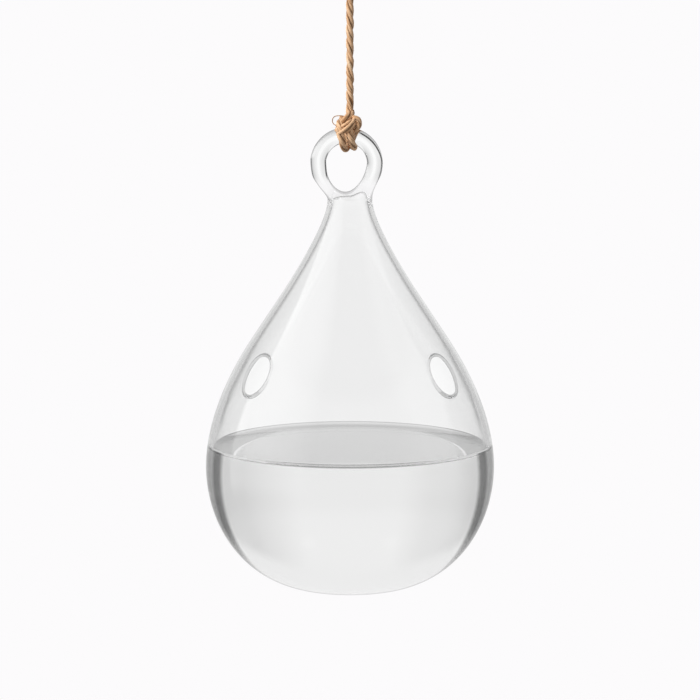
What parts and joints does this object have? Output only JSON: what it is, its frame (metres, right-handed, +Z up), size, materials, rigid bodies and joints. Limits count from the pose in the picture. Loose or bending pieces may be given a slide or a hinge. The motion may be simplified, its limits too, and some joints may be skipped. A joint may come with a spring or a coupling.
{
  "type": "propagation vase",
  "caption": "Hanging clear glass drop with a stem hole on either side, a fused glass loop and still water inside, hung by jute twine that is hitched round the loop.",
  "frame": {"origin": "bearing point of the twine's eye, where a hook carries the vase", "axes": "+Z up along the cord, +X to the right, -Y towards the viewer, with the stem holes at the front"},
  "size_m": [0.0998, 0.0998, 0.2424],
  "materials": {
    "clear_glass": "polished",
    "water": "polished",
    "jute_twine": "matte"
  },
  "bodies": {
    "hanging_eye": {"hanging_eye": "jute_twine"},
    "upper_knot": {"upper_knot": "jute_twine", "upper_tail": "jute_twine"},
    "cord": {"hanging_cord": "jute_twine"},
    "lower_knot": {"lower_knot": "jute_twine", "lower_tail": "jute_twine"},
    "hitch": {"ring_hitch": "jute_twine"},
    "vessel": {"glass_bulb": "clear_glass", "glass_loop": "clear_glass", "water": "water"}
  },
  "joints": [
    {"name": "eye_swing", "type": "hinge", "parent": "hanging_eye", "child": "upper_knot", "pos_m": [0, 0, -0.02475], "axis": [1, 0, 0], "range_deg": [-20, 20]},
    {"name": "cord_swing", "type": "hinge", "parent": "upper_knot", "child": "cord", "pos_m": [0, 0, -0.02855], "axis": [0, 1, 0], "range_deg": [-20, 20]},
    {"name": "cord_twist", "type": "hinge", "parent": "cord", "child": "lower_knot", "pos_m": [0, 0, -0.07415], "axis": [0, 0, 1], "range_deg": [-180, 180]},
    {"name": "loop_rock", "type": "hinge", "parent": "lower_knot", "child": "hitch", "pos_m": [0, 0, -0.08232], "axis": [0.9924, 0, -0.1233], "range_deg": [-20, 20]},
    {"name": "loop_slide", "type": "hinge", "parent": "hitch", "child": "vessel", "pos_m": [-0.0012, 0, -0.09198], "axis": [0, 1, 0], "range_deg": [-20, 20]}
  ]
}
